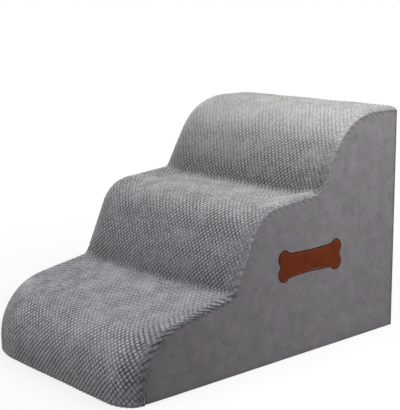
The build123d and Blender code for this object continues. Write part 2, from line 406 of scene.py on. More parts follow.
def plush_finish():
    """Grey plush: light bead tops, dark grooves deepened with painted shade, soft fibres, and painted light
    and shade along the strip and its seams.
    """
    sheen = {"Sheen_Weight": 1.0, "Sheen_Roughness": 0.35, "Sheen_Tint": paint(250, 249, 243)}
    finish = Finish("diamond plush", Roughness=0.9, Specular_IOR_Level=0.15, **sheen)
    place = finish.place()
    across, down, _ = finish.cloth_map("cloth")
    along, inside, _ = finish.cloth_map("seam")
    relief = bead_relief(finish, across, down)
    pressed = pressed_patches(finish, place)
    strokes = seam_strokes(finish, along, inside)
    # Painted shadow along the seams.
    (crease_shadow,) = finish.use(seam_shadow_group, along=along, inside=inside)
    fibre, shade, _ = finish.pile(1100.0, 22.0, 0.12)
    worn = finish.spread(along, 570.0, 680.0, 1.15, 0.45)
    depth = (1.0 - pressed * 0.6) * seam_flattening(finish, inside) * worn
    tuft = finish.noise(place, 2.4, 2.0) * 1.1 - 0.55
    bead = (relief - 0.5) * depth + tuft + 0.5
    # Dark grooves and light bead tops: partly the pressed pile's own tone, partly painted shade in the
    # grooves.
    colour = finish.blend(finish.spread(bead, 0.0, 1.0), paint(70, 70, 74), paint(169, 169, 172))
    # Painted shade where the plush rolls under the seams, widest and darkest at the lowest front corner, and
    # in the folds of the seam strokes.
    corner = finish.spread(along, 90.0, 160.0, 52.0, 10.0)
    darkest = finish.spread(along, 80.0, 160.0, 0.48, 1.0)
    painted_seam_shade = finish.spread(inside, 0.0, corner, darkest, 1.0) * (1.0 - strokes * 0.85) * crease_shadow
    speckled = finish.spread(finish.noise(place, 6.0, 3.0, 0.7), 0.3, 0.7, 0.7, 1.3)
    uneven = (speckled * finish.spread(pressed, 0.0, 1.0, 0.93, 1.16) - 1.0) * worn + 1.0
    # The pile's random tone, times painted shade along the seams and painted light and shade along the strip.
    colour = finish.shaded(colour, shade * uneven * painted_seam_shade * painted_light_tone(finish, along))
    # Painted light colour: the lower, shaded steps a little cooler and the upper, lit ones a little warmer.
    tint = finish.blend(finish.spread(along, 260.0, 620.0), paint(250, 250, 255), paint(255, 255, 252))
    colour = finish.blend(1.0, colour, tint, "MULTIPLY")
    height = (relief - strokes) * depth + tuft * 0.5 + fibre * 0.35
    return finish.close(colour, height, 1.3, 0.8)


def suede_finish(name):
    """Short grey suede with its pile laid in patches, faint warm and cool tints, pulled-in seams, and painted
    shade along the seams and towards the front.
    """
    sheen = {"Sheen_Weight": 0.35, "Sheen_Roughness": 0.4, "Sheen_Tint": paint(205, 203, 208)}
    finish = Finish(name, Roughness=0.88, Specular_IOR_Level=0.18, **sheen)
    place = finish.place()
    fibre, shade, patch = finish.pile(1300.0, 40.0, 0.08)
    colour = finish.blend(finish.spread(patch, 0.25, 0.75), paint(117, 114, 118), paint(133, 130, 134))
    violet, green, brown = paint(133, 118, 140), paint(118, 131, 116), paint(139, 124, 114)
    for size, tint, most in ((31.0, violet, 0.2), (47.0, green, 0.16), (23.0, brown, 0.18)):
        moved = finish.field("ShaderNodeVectorMath", {0: place, 1: (size, 2 * size, 0.0)}, operation="ADD")
        share = finish.spread(finish.noise(moved, size, 3.0), 0.5, 0.75, 0.0, most)
        colour = finish.blend(share, colour, tint)
    speck = finish.spread(finish.noise(place, 5.0, 4.0, 0.75), 0.3, 0.7, 0.94, 1.06)
    # Darker in scattered soft spots.
    dark_spots = finish.spread(finish.noise(place, 14.0, 2.0, 0.6), 0.58, 0.7, 1.0, 0.87)
    along, inside, _ = finish.cloth_map("seam")
    # Painted shadow along the seams.
    (crease_shadow,) = finish.use(seam_shadow_group, along=along, inside=inside)
    gather = finish.wave(along - inside, stroke_pitch)
    # Painted shade along the seam, deepest at the lowest step, rippled with painted shade in the puckers.
    swing = finish.spread(along, 240.0, 330.0, 0.2, 0.03)
    painted_shade_at_seam = gather * swing + finish.spread(along, 240.0, 330.0, 0.72, 0.96)
    edge = finish.spread(inside, 0.0, 8.0, painted_shade_at_seam, 1.0)
    # Painted shade: the suede darker towards the front of the stairs.
    painted_front_shade = finish.spread(finish.parts(place)[1], -0.27, 0.12, 0.7, 1.0)
    colour = finish.shaded(colour, shade * speck * dark_spots * edge * crease_shadow * painted_front_shade)
    height = gather * finish.spread(inside, 0.5, 12.0, 0.7, 0.0) + fibre * 0.22 + patch * 0.5
    return finish.close(colour, height, 0.8, 0.8)


def woven_finish(name, dark, light, threads, axes, bump):
    """Woven cloth on a flat place, read along two axes of the object."""
    finish = Finish(name, Roughness=0.85, Sheen_Weight=0.15, Sheen_Roughness=0.5)
    spot = finish.parts(finish.place())
    along, across = (spot[axis] for axis in axes)
    weave, threaded = finish.use(weave_group, along=along, across=across, threads_per_metre=threads)
    fibre, shade, patch = finish.pile(2000.0, 18.0, 0.1)
    colour = finish.shaded(finish.blend(finish.spread(patch, 0.3, 0.7), dark, light), shade * threaded)
    return finish.close(colour, fibre * 0.3 + weave, bump)


def leather_finish():
    """Brown leather: fine cells, darker towards the cut edge, a little gloss on the high spots."""
    finish = Finish("brown leather", Specular_IOR_Level=0.1)
    cell = {"Vector": finish.place(), "Scale": 900.0}
    cells = finish.field("ShaderNodeTexVoronoi", cell, "Distance", feature="DISTANCE_TO_EDGE")
    grain = finish.spread(cells, 0.0, 0.3)
    fibre, shade, patch = finish.pile(700.0, 60.0, 0.16)
    colour = finish.blend(finish.spread(patch, 0.3, 0.7), paint(95, 38, 9), paint(113, 48, 12))
    inside = finish.cloth_map("seam")[1]
    colour = finish.blend(finish.spread(inside, 0.2, 2.6), paint(54, 25, 14), colour)
    colour = finish.shaded(colour, shade * finish.spread(grain, 0.0, 1.0, 0.82, 1.04))
    rough = finish.spread(fibre * 0.5 + grain, 0.2, 1.4, 0.78, 0.56)
    return finish.close(colour, fibre * 0.3 + grain, 0.12, 0.8, rough)


def thread_finish(name, colour):
    """Twisted sewing thread."""
    finish = Finish(name, Roughness=0.6, Sheen_Weight=0.2, Sheen_Roughness=0.4)
    fibre, shade, _ = finish.pile(3500.0, 120.0, 0.2)
    return finish.close(finish.shaded(colour, shade), fibre, 0.08)


def moulded_finish(name, greys, pile, bump, gloss, specular=0.5):
    """Cool grey rubber or nylon, cloudy and a little uneven in its gloss."""
    finish = Finish(name, Specular_IOR_Level=specular)
    fibre, shade, patch = finish.pile(*pile)
    dark, light = (paint(grey, grey, grey + 4) for grey in greys)
    colour = finish.shaded(finish.blend(patch, dark, light), shade)
    return finish.close(colour, fibre, *bump, finish.spread(fibre, 0.3, 0.7, *gloss))


def foam_finish():
    """Pale open-cell foam."""
    finish = Finish("open-cell foam", Roughness=0.95)
    cell = {"Vector": finish.place(), "Scale": 700.0}
    pores = finish.spread(finish.field("ShaderNodeTexVoronoi", cell, "Distance", feature="F1"), 0.1, 0.6)
    fibre, shade, _ = finish.pile(1600.0, 15.0, 0.08)
    colour = finish.shaded(finish.blend(pores, paint(188, 182, 160), paint(226, 221, 202)), shade)
    return finish.close(colour, fibre * 0.3 + pores, 0.5)


def metal_finish():
    """Nickel-plated zinc with small scratches and a worn, duller bloom."""
    finish = Finish("nickel plating", Metallic=1.0)
    place = finish.place()
    long_marks = finish.field("ShaderNodeMapping", {"Vector": place, "Scale": (0.12, 1.0, 1.0)})
    scratch = finish.noise(long_marks, 0.35, 3.0)
    bloom = finish.noise(place, 5.0, 3.0)
    colour = finish.blend(finish.spread(bloom, 0.35, 0.7), paint(176, 176, 179), paint(206, 206, 207))
    rough = scratch * 0.16 + finish.spread(bloom, 0.3, 0.7, 0.2, 0.3)
    return finish.close(colour, scratch, 0.02, 0.5, rough)


plush = plush_finish()
side_suede = suede_finish("side suede")
rear_suede = suede_finish("rear suede")
grip_cloth = woven_finish("grip cloth", paint(120, 120, 124), paint(136, 136, 139), 900.0, (0, 1), 0.25)
tape_cloth = woven_finish("zipper tape", paint(104, 104, 108), paint(120, 120, 124), 1700.0, (0, 2), 0.15)
liner_cloth = woven_finish("non-woven liner", paint(214, 214, 212), paint(230, 230, 228), 600.0, (1, 2), 0.1)
leather = leather_finish()
patch_thread = thread_finish("brown thread", paint(84, 42, 25))
grey_thread = thread_finish("grey thread", paint(132, 132, 136))
rubber = moulded_finish("grip rubber", (66, 84), (1500.0, 45.0, 0.12), (0.05, 0.6), (0.5, 0.68), 0.35)
foam = foam_finish()
nickel = metal_finish()
nylon = moulded_finish("nylon coil", (112, 134), (1800.0, 80.0, 0.1), (0.03, 0.5), (0.34, 0.46))


# The stairs' outline


def moved_corners(front, tread, rear, bottom, dips):
    """The outline's corners after each straight has moved inwards by its own inset.

    The two valleys have sunk first, each by its own dip."""
    insets = [front, tread, tread, tread, tread, tread, rear, bottom]
    lines = []
    corners = list(outline_corners)
    for index, dip in zip(valleys, dips):
        corners[index] = (corners[index][0], corners[index][1] - dip)
    following = corners[1:] + corners[:1]
    for (y0, z0), (y1, z1), inset in zip(corners, following, insets):
        heading = math.atan2(z1 - z0, y1 - y0)
        rise, run = math.sin(heading), math.cos(heading)
        lines.append((y0 + rise * inset, z0 - run * inset, run, rise))
    meeting = []
    for index, (yb, zb, run_b, rise_b) in enumerate(lines):
        ya, za, run_a, rise_a = lines[index - 1]
        reach = ((yb - ya) * rise_b - (zb - za) * run_b) / (run_a * rise_b - rise_a * run_b)
        meeting.append((ya + reach * run_a, za + reach * rise_a))
    return meeting


def valley_dips(x):
    """How far the soft cover has sunk into each valley at a place across the width."""
    inside = eased((half_width - abs(x)) / 60)
    lower = lower_sink * inside * (0.3 + 0.7 * eased((150 - x) / 110))
    return lower, upper_sink_at_ends + upper_sink * inside


def side_track(x, front, tread, rear, bottom, growth):
    """Runs and arcs of the outline at x, from the front floor edge over the top to the rear one.

    Each is its start, the heading there, its length and how far it turns."""
    corners = moved_corners(front, tread, rear, bottom, valley_dips(x))
    radii = [
        nose_radius - tread + growth,
        valley_radius + tread,
        middle_radius - tread,
        valley_radius + tread,
        upper_radius - tread,
        rear_radius - tread,
    ]
    parts = []
    start = corners[0]
    for index, radius in enumerate(radii, 1):
        y, z = corners[index]
        heading_in = math.atan2(z - corners[index - 1][1], y - corners[index - 1][0])
        heading_out = math.atan2(corners[index + 1][1] - z, corners[index + 1][0] - y)
        turn = math.remainder(heading_out - heading_in, 2 * math.pi)
        reach = radius * math.tan(abs(turn) / 2)
        arc_start = (y - reach * math.cos(heading_in), z - reach * math.sin(heading_in))
        parts.append((start, heading_in, math.dist(start, arc_start), 0.0))
        parts.append((arc_start, heading_in, radius * abs(turn), turn))
        start = (y + reach * math.cos(heading_out), z + reach * math.sin(heading_out))
    parts.append((start, heading_out, math.dist(start, corners[7]), 0.0))
    return parts


def point_on(part, share):
    """The point (y, z) at a share of the way along a run or an arc."""
    (y, z), heading, length, turn = part
    if not turn:
        return y + share * length * math.cos(heading), z + share * length * math.sin(heading)
    radius = length / turn
    now = heading + share * turn
    return y + radius * (math.sin(now) - math.sin(heading)), z - radius * (math.cos(now) - math.cos(heading))


def roll_in(reach, width, depth):
    """How far a rounded edge has drawn in at a reach from the side that it rolls into."""
    if reach >= width:
        return 0.0
    return depth - depth * math.sqrt(max(0.0, 1 - (1 - reach / width) ** 2))


def rolls_at(x, half=half_width, inset=0.0):
    """How far the rolled edge and the front corner have drawn in at a place across the width."""
    edge_width, edge_depth, corner_width, corner_depth = side_rounding[1 if x > 0 else -1]
    reach = max(0.0, half - abs(x))
    edge = roll_in(reach, edge_width - inset, edge_depth - inset)
    corner = roll_in(reach, corner_width - inset, corner_depth - inset)
    return edge, corner


def rolled_places(side, half, width, steps):
    """Places across a rolled edge, closer together towards its side."""
    turns = spaced(0.0, math.pi / 2, steps)
    return [side * (half - width * (1 - math.cos(turn))) for turn in turns]


def width_places():
    """Places from the left side to the right one, close together where the edges and corners roll."""
    places = {0.0}
    for side in (-1, 1):
        edge_width, _, corner_width, _ = side_rounding[side]
        for width in (edge_width, corner_width):
            places.update(rolled_places(side, half_width, width, 14))
        places.update(side * reach for reach in spaced(0.0, half_width - corner_width, 12))
    return sorted(places)


# Meshes


def add_object(name, data):
    """A new object in the scene."""
    made = bpy.data.objects.new(name, data)
    bpy.context.scene.collection.objects.link(made)
    return made


def loose_points(name, points, edges=()):
    """An object of bare points in millimetres, and edges, for a geometry tree to build on."""
    mesh = bpy.data.meshes.new(name)
    mesh.from_pydata([[value * mm for value in point] for point in points], edges, [])
    return add_object(name, mesh)


def new_piece(name, points, faces, material, **maps):
    """A smooth piece from points in millimetres, with maps that give each point a place on its cloth."""
    used = sorted({index for face in faces for index in face})
    number = {index: n for n, index in enumerate(used)}
    places = [[value * mm for value in points[index]] for index in used]
    mesh = bpy.data.meshes.new(name)
    mesh.from_pydata(places, [], [[number[index] for index in face] for face in faces])
    corners = [0] * len(mesh.loops)
    mesh.loops.foreach_get("vertex_index", corners)
    for title, spots in maps.items():
        layer = mesh.uv_layers.new(name=title)
        layer.data.foreach_set("uv", [value for corner in corners for value in spots[used[corner]]])
    mesh.shade_smooth()
    mesh.materials.append(material)
    return add_object(name, mesh)


def grid_faces(rows, columns, flip=False, skip=None):
    """Faces over rows of points, with the first row's points numbered first."""
    faces = []
    for row in range(rows - 1):
        for column in range(columns - 1):
            if skip and skip(row, column):
                continue
            base = row * columns + column
            face = (base, base + 1, base + columns + 1, base + columns)
            faces.append(face[::-1] if flip else face)
    return faces


def ring_faces(rings, count):
    """Faces between closed rings of points, with the last ring filled."""
    faces = []
    for ring in range(rings - 1):
        base, over = ring * count, (ring + 1) * count
        for here in range(count):
            after = (here + 1) % count
            faces.append((base + here, over + here, over + after, base + after))
    faces.append([(rings - 1) * count + n for n in range(count)][::-1])
    return faces


def walked_lengths(points):
    """How far along a line each of its points lies."""
    walked = [0.0]
    for before, now in zip(points, points[1:]):
        walked.append(walked[-1] + math.dist(before, now))
    return walked


def join_doubles(mesh):
    """Join the points of a mesh that lie on each other."""
    work = bmesh.new()
    work.from_mesh(mesh)
    bmesh.ops.remove_doubles(work, verts=work.verts, dist=0.005 * mm)
    work.to_mesh(mesh)
    work.free()


def settle(piece):
    """Make what the piece's modifiers give into its own plain mesh."""
    bpy.context.view_layer.update()
    ready = bpy.context.evaluated_depsgraph_get()
    shown = piece.evaluated_get(ready)
    made = bpy.data.meshes.new_from_object(shown, preserve_all_data_layers=True, depsgraph=ready)
    piece.modifiers.clear()
    old = piece.data
    piece.data = made
    made.name = old.name
    bpy.data.meshes.remove(old)
    return piece


def thicken(piece, thickness):
    """A wall of this thickness in millimetres behind a piece's face."""
    wall = piece.modifiers.new("cloth", "SOLIDIFY")
    wall.thickness = thickness * mm
    wall.offset = -1.0


def grow(piece, tree, **sizes):
    """Run a geometry tree on a piece with these sizes and keep the result as a plain mesh."""
    modifier = piece.modifiers.new(tree.name, "NODES")
    modifier.node_group = tree
    for item in tree.interface.items_tree:
        if item.in_out == "INPUT" and plain(item.name) in sizes:
            modifier[item.identifier] = sizes[plain(item.name)]
    return settle(piece)


def geometry_tree(name, sizes):
    inputs = {"Geometry": "NodeSocketGeometry", "Finish": "NodeSocketMaterial", **sizes}
    return group_tree(name, "GeometryNodeTree", inputs, {"Geometry": "NodeSocketGeometry"})


def close_tree(graph, geometry, given, made):
    """End a geometry tree: real geometry, its finish, and the way out."""
    solid = graph.field("GeometryNodeRealizeInstances", {0: geometry})
    smooth = graph.field("GeometryNodeSetShadeSmooth", {0: solid})
    painted = graph.field("GeometryNodeSetMaterial", {"Geometry": smooth, "Material": given["Finish"]})
    graph.put(painted, made["Geometry"])
    return graph.tree


def attribute(graph, name, kind="FLOAT_VECTOR"):
    return graph.field("GeometryNodeInputNamedAttribute", {"Name": name}, data_type=kind)


def make_relief_tree():
    """Raises the beads of the plush, gathers it along the seams and adds slow waves of loose cloth."""
    sizes = {"Relief": 0.0014, "Gather": 0.0013, "Wave": 0.0018, "Wave per metre": 14.0, "Seed": 3.0}
    graph, given, made = geometry_tree("plush relief", sizes)
    across, down, _ = graph.parts(attribute(graph, "cloth"))
    along, inside, _ = graph.parts(attribute(graph, "seam"))
    position = graph.field("GeometryNodeInputPosition")
    depth = (1.0 - pressed_patches(graph, position) * 0.5) * seam_flattening(graph, inside)
    rise = (bead_relief(graph, across, down) - 0.55) * depth * given["Relief"]
    gather = seam_strokes(graph, along, inside) * given["Gather"]
    slow = {"Vector": position, "W": given["Seed"], "Scale": given["Wave per metre"], "Detail": 2.0}
    wave = (graph.field("ShaderNodeTexNoise", slow, noise_dimensions="4D") - 0.5) * given["Wave"]
    lift = {0: graph.field("GeometryNodeInputNormal"), 3: rise - gather + wave}
    offset = graph.field("ShaderNodeVectorMath", lift, operation="SCALE")
    moved = graph.field("GeometryNodeSetPosition", {"Geometry": given["Geometry"], "Offset": offset})
    return close_tree(graph, moved, given, made)


def make_stitch_tree():
    """Lays single stitches along a line of edges, with their backs to the cloth."""
    sizes = {"Pitch": 0.003, "Length": 0.0021, "Thickness": 0.0006, "Outward": (0.0, 0.0, 1.0)}
    graph, given, made = geometry_tree("stitches", sizes)
    curve = graph.field("GeometryNodeMeshToCurve", {"Mesh": given["Geometry"]})
    even = graph.field("GeometryNodeResampleCurve", {"Curve": curve, "Length": given["Pitch"]}, mode="LENGTH")
    ball = graph.field("GeometryNodeMeshUVSphere", {"Segments": 6, "Rings": 6, "Radius": 0.5})
    laid = graph.field("GeometryNodeTransform", {"Geometry": ball, "Rotation": (0.0, math.pi / 2, 0.0)})
    size = graph.vector(given["Length"], given["Thickness"], given["Thickness"])
    stood = graph.field("FunctionNodeAlignRotationToVector", {"Vector": given["Outward"]}, axis="Z")
    heading = {"Rotation": stood, "Vector": graph.field("GeometryNodeInputTangent")}
    turned = graph.field("FunctionNodeAlignRotationToVector", heading, axis="X", pivot_axis="Z")
    stitches = {"Points": even, "Instance": laid, "Rotation": turned, "Scale": size}
    return close_tree(graph, graph.field("GeometryNodeInstanceOnPoints", stitches), given, made)


def make_dot_tree():
    """Prints a low dome with a flat face on each point, pointing down."""
    graph, given, made = geometry_tree("grip dots", {"Radius": 0.0017, "Height": 0.0008})
    radii = {"Radius Top": given["Radius"] * 0.62, "Radius Bottom": given["Radius"]}
    cone = {"Vertices": 9, "Side Segments": 1, "Depth": given["Height"], **radii}
    dome = graph.field("GeometryNodeMeshCone", cone)
    down = graph.field("GeometryNodeTransform", {"Geometry": dome, "Rotation": (math.pi, 0.0, 0.0)})
    dots = {"Points": given["Geometry"], "Instance": down}
    return close_tree(graph, graph.field("GeometryNodeInstanceOnPoints", dots), given, made)


def make_coil_tree():
    """Winds one turn of nylon on each point of a line along the width."""
    sizes = {"Depth": 0.0024, "Height": 0.0027, "Wire": 0.0003, "Lean": 0.35}
    graph, given, made = geometry_tree("coil turns", sizes)
    ring = graph.field("GeometryNodeCurvePrimitiveCircle", {"Resolution": 9, "Radius": 0.5})
    oval = graph.vector(given["Height"], given["Depth"], 1.0)
    wire = graph.field("GeometryNodeCurvePrimitiveCircle", {"Resolution": 5, "Radius": given["Wire"]})
    shaped = graph.field("GeometryNodeTransform", {"Geometry": ring, "Scale": oval})
    turn = graph.field("GeometryNodeCurveToMesh", {"Curve": shaped, "Profile Curve": wire})
    lean = graph.vector(0.0, math.pi / 2, given["Lean"])
    size = graph.vector(attribute(graph, "squeeze", "FLOAT"), 1.0, 1.0)
    turns = {"Points": given["Geometry"], "Instance": turn, "Rotation": lean, "Scale": size}
    return close_tree(graph, graph.field("GeometryNodeInstanceOnPoints", turns), given, made)


relief_tree = make_relief_tree()
stitch_tree = make_stitch_tree()
dot_tree = make_dot_tree()
coil_tree = make_coil_tree()


def stitch_line(name, lines, closed, outward, material, stitch):
    """Stitches along closed or open lines of points in millimetres."""
    points, edges = [], []
    for line in lines:
        first = len(points)
        points += line
        edges += [(first + n, first + n + 1) for n in range(len(line) - 1)]
        if closed:
            edges.append((len(points) - 1, first))
    sizes = {title: size * mm for title, size in zip(("pitch", "length", "thickness"), stitch)}
    return grow(loose_points(name, points, edges), stitch_tree, finish=material, outward=outward, **sizes)


def mount(piece, slot, *nodes):
    """Let a piece ride on the stairs and stand for its nodes, which are hidden. Its slot is not used."""
    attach(piece, "stairs")
    if nodes:
        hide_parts(*nodes)


def mount_padded(piece, slot, node):
    """Mount a padded piece."""
    mount(piece, slot, node)


# Plush tread panel


def strip_rows():
    """Rows of the mesh along the strip: a part of the outline, a share of it and a drift.

    The plush isn't quite square to the seams. Its rows of diamonds drift sideways up the risers."""
    middle = side_track(0.0, 0.0, 0.0, 0.0, cloth_foot, 0.0)
    lengths = [part[2] for part in middle[:rear_arc]] + [middle[rear_arc][2] * rear_arc_share]
    total = sum(lengths)
    count = bead_steps * round(total / bead_length)
    rows = []
    part, before, drift = 0, 0.0, 0.0
    for row in range(count + 1):
        walked = total * row / count
        while part < rear_arc and walked > before + lengths[part]:
            before += lengths[part]
            part += 1
        rows.append((part, (walked - before) / middle[part][2], drift))
        drift += drift_rate(walked) * total / count
    return rows


def drift_rate(walked):
    """Sideways drift of the plush for each step along the strip, least on the lowest step."""
    for (at, rate), (beyond, later) in zip(drift_knots, drift_knots[1:]):
        if walked <= beyond:
            return rate + (later - rate) * eased((walked - at) / (beyond - at))
    return 0.0


def walk_across(line, places, middle, drift):
    """Points an even step apart along a line, counted from near its middle, and held at its ends."""
    walked = walked_lengths(line)
    start = walked[middle] + drift
    points, reaches = [], []
    index = 0
    for place in places:
        wanted = min(max(place + start, 0.0), walked[-1])
        while index < len(walked) - 2 and walked[index + 1] < wanted:
            index += 1
        share = (wanted - walked[index]) / (walked[index + 1] - walked[index])
        points.append([a + share * (b - a) for a, b in zip(line[index], line[index + 1])])
        reaches.append(wanted - start)
    from_seam = [min(place + start, walked[-1] - place - start) for place in reaches]
    return points, reaches, from_seam


def loose_place(across, along):
    """The place of a point in beads. The rows of beads aren't quite straight on soft cloth."""
    sway = 1.6 * noise.noise(Vector((across / 45, along / 45, 2.0)))
    creep = 1.6 * noise.noise(Vector((across / 45, along / 45, 9.0)))
    return (across + sway) / bead_width, (along + creep) / bead_length


def belly(x, part, share, point):
    """A riser's point after the riser has bulged above its valley. Other points stay."""
    if part not in risers:
        return point
    out = riser_bulge * math.sin(math.pi * share) * (1 - share) * eased((half_width - abs(x)) / 50)
    (ya, za), (yb, zb) = outline_corners[part // 2 : part // 2 + 2]
    length = math.dist((ya, za), (yb, zb))
    return point[0] - out * (zb - za) / length, point[1] + out * (yb - ya) / length


def cloth_track(x, edge, corner):
    """A place across and the outline there, with the edge and the front corner drawn in this far."""
    return x, side_track(x, corner, edge, edge, cloth_foot, nose_growth * corner)


def hem_tracks(side):
    """Outlines of the strip where one of its long edges is turned in, each at its place across."""
    _, edge, _, corner = side_rounding[side]
    turns = ((199.4, 0.9), (198.0, 2.2), (195.6, 3.4))
    return [cloth_track(side * reach, edge + more, corner + more) for reach, more in turns]


def make_tread_panel():
    """One strip of plush over the steps, with its long edges turned in under the side seams.

    Its diamonds keep their size round the front corners, so the seams cut through them."""
    step = bead_width / bead_steps
    reach = math.ceil(1.34 * half_width / step)
    places = [step * n for n in range(-reach, reach + 1)]
    knots = width_places()
    tracks = [cloth_track(x, *rolls_at(x)) for x in knots]
    hems = [hem_tracks(side) for side in (-1, 1)]
    hem_widths = (1.0, 2.6, 5.2)
    rows, cloth, seam = [], [], []
    for row, (part, share, drift) in enumerate(strip_rows()):
        line = [(x, *belly(x, part, share, point_on(track[part], share))) for x, track in tracks]
        points, reaches, from_seam = walk_across(line, places, knots.index(0.0), drift)
        left, right = ([(x, *point_on(track[part], share)) for x, track in hem] for hem in hems)
        rows.append([*left[::-1], *points, *right])
        before = [reaches[0] - width for width in hem_widths[::-1]]
        beyond = [reaches[-1] + width for width in hem_widths]
        along = row * bead_length / bead_steps
        cloth.append([loose_place(place, along) for place in (*before, *reaches, *beyond)])
        seam.append([(along, inside) for inside in (0.0, 0.0, 0.0, *from_seam, 0.0, 0.0, 0.0)])
    foot = [(x * 0.992, y + 3.0, z + 0.1) for x, y, z in rows[0]]
    head = [(x * 0.995, y - 3.0, z - 0.5) for x, y, z in rows[-1]]
    rows = [foot, *rows, head]
    cloth, seam = [cloth[0], *cloth, cloth[-1]], [seam[0], *seam, seam[-1]]

    def held(row, column):
        """True where the strip is too narrow to reach this step."""
        ends = [rows[row + down][column + over] for down in (0, 1) for over in (0, 1)]
        return math.dist(ends[0], ends[1]) < 0.01 and math.dist(ends[2], ends[3]) < 0.01

    faces = grid_faces(len(rows), len(rows[0]), skip=held)
    points, cloth, seam = ([spot for line in lines for spot in line] for lines in (rows, cloth, seam))
    piece = new_piece("tread_plush", points, faces, plush, cloth=cloth, seam=seam)
    join_doubles(piece.data)
    return grow(piece, relief_tree, finish=plush)


mount_padded(make_tread_panel(), "tread_plush", "tread_panel")


# Side panels


def seam_rise(distance, depth=1.1):
    """How far a panel stands out of its seam plane at a distance in from the seam."""
    return 0.5 * (1 - math.exp(-distance / 30)) - depth * math.exp(-distance / 5.0)


def side_border(side):
    """The upper edge of a side panel as points (y, z) from front to rear, and where it ends."""
    _, edge_depth, _, corner_depth = side_rounding[side]
    tuck = 0.5
    front, inset = corner_depth + seam_recess - tuck, edge_depth + seam_recess - tuck
    track = side_track(side * half_width, front, inset, inset, cloth_foot, nose_growth * corner_depth)
    rear_y, rear_z = point_on(track[rear_arc], 1.0)
    border = [(rear_y, rear_z)]
    for part in track[1 : rear_arc + 1]:
        steps = max(2, round(part[2] / 2.6))
        border += [point_on(part, n / steps) for n in range(steps)]
    for back in (2.0, 4.0, 6.0, 9.0, 12.0, 16.0):
        border.append((rear_y - rear_radius + inset - back / 2, track[rear_arc - 1][0][1]))
    return sorted(set(border)), rear_y


def make_side_panel(side):
    """A suede panel inside the side outline, dipped along its seams and slightly wavy."""
    border, rear_y = side_border(side)
    front_y = border[0][0]
    drops = [0.0, 0.8, 1.8, 3.0, 4.6, 6.6, 9.5, 13.0, 18.0, 25.0]
    drops += spaced(34.0, 356.0, 34) + [366.0, 374.0, 380.0, 385.0, 388.5, 391.0]
    walked = walked_lengths(border)
    points, seam = [], []
    count, span = len(border), 24
    for drop in drops:
        for index, (y, top) in enumerate(border):
            z = top - (top - cloth_foot) * drop / drops[-1]
            around = range(max(0, index - span), min(count, index + span + 1))
            near = min(around, key=lambda n: math.dist(border[n], (y, z)))
            distance = min(math.dist(border[near], (y, z)), y - front_y, rear_y - y)
            low = 1.6 * math.exp(-(z - cloth_foot) / 2.5)
            waves = 0.55 * noise.noise(Vector((y / 60, z / 60, side * 7.0)))
            waves += 0.22 * noise.noise(Vector((y / 17, z / 17, side * 3.0)))
            depth = 0.5 + 1.9 * eased((340 - walked[near]) / 100)
            rise = seam_rise(distance, depth) + waves * min(1.0, distance / 15) - low
            points.append((side * (half_width - seam_recess + rise), y, z))
            seam.append((walked[near], distance))
    name = "side_suede_right" if side > 0 else "side_suede_left"
    return new_piece(name, points, grid_faces(len(drops), count, flip=side > 0), side_suede, seam=seam)


for side, node in ((1, "side_panel_right"), (-1, "side_panel_left")):
    mount_padded(make_side_panel(side), "side_suede", node)


# Rear panels


def make_rear_panel(name, levels, lip_rows):
    """A suede panel across the rear. Its lip rows lie beside the zipper's slot, not across it."""
    places = set(spaced(-slot_reach, slot_reach, 60))
    for side in (-1, 1):
        places.update(rolled_places(side, half_width, side_rounding[side][0], 9))
    places = sorted(places)
    points, seam = [], []
    for level in levels:
        for x in places:
            edge, _ = rolls_at(x)
            distance = min(half_width - abs(x) + edge / 2, abs(levels[0] - level) + 0.2)
            waves = 0.5 * noise.noise(Vector((x / 60, level / 60, 11.0)))
            rise = seam_rise(max(0.0, distance)) + waves * min(1.0, distance / 15)
            if abs(x) < slot_reach and abs(level - zip_level) < 30:
                away = abs(level - zip_level) - slot_half
                rise += 0.5 * math.exp(-max(0.0, away) / 4) - 0.3
            points.append((x, half_length - edge + rise, level))
            seam.append((x, distance))

    def in_slot(row, column):
        return row in lip_rows and abs(places[column] + places[column + 1]) / 2 < slot_reach

    faces = grid_faces(len(levels), len(places), skip=in_slot)
    piece = new_piece(name, points, faces, rear_suede, seam=seam)
    thicken(piece, suede_thickness)
    soft = piece.modifiers.new("folded edge", "BEVEL")
    soft.width = 0.7 * mm
    soft.segments = 2
    soft.limit_method = "ANGLE"
    soft.angle_limit = math.radians(50)
    return settle(piece)


upper_levels = [rear_seam_level, 388.0, 386.5, 384.0, 380.0]
upper_levels += spaced(374.0, 90.0, 56) + spaced(85.0, 68.0, 6) + [64.0, 60.2]
lower_levels = spaced(60.0, 52.0, 2) + spaced(49.0, 31.0, 6) + spaced(27.0, 4.0, 6) + [2.2, 0.8]
upper_lip = (len(upper_levels) - 3, len(upper_levels) - 2)
mount_padded(make_rear_panel("rear_suede_upper", upper_levels, upper_lip), "rear_suede", "rear_panel_upper")
mount_padded(make_rear_panel("rear_suede_lower", lower_levels, (0, 1)), "rear_suede", "rear_panel_lower")

lip_places = spaced(-slot_reach - 1, slot_reach + 1, 40)
lip_levels = (zip_level + slot_half + 4.5, zip_level - slot_half - 4.5)
lip_lines = [[(x, half_length + 0.62, level) for x in lip_places] for level in lip_levels]
rearward = (0.0, 1.0, 0.0)
mount(stitch_line("zipper_topstitch", lip_lines, False, rearward, grey_thread, slot_stitch), "rear_suede")


# Bottom panel and grip dots


def bottom_edges(x):
    """Front and rear edges of the bottom at a place across the width."""
    edge, corner = rolls_at(x, half_width - bottom_inset, bottom_inset)
    return -half_length + bottom_inset + corner, half_length - bottom_inset + 1 - edge


def make_bottom_panel():
    """A flat woven panel that closes the cover under the foam."""
    reach = half_width - bottom_inset
    places = sorted({side * reach * math.sin(math.pi / 2 * n / 40) for n in range(41) for side in (-1, 1)})
    points = []
    steps = 60
    for x in places:
        for y in spaced(*bottom_edges(x), steps):
            sag = 0.25 * noise.noise(Vector((x / 50, y / 50, 5.0)))
            points.append((x, y, cloth_foot + 0.15 + abs(sag)))
    return new_piece("bottom_cloth", points, grid_faces(len(places), steps + 1), grip_cloth)


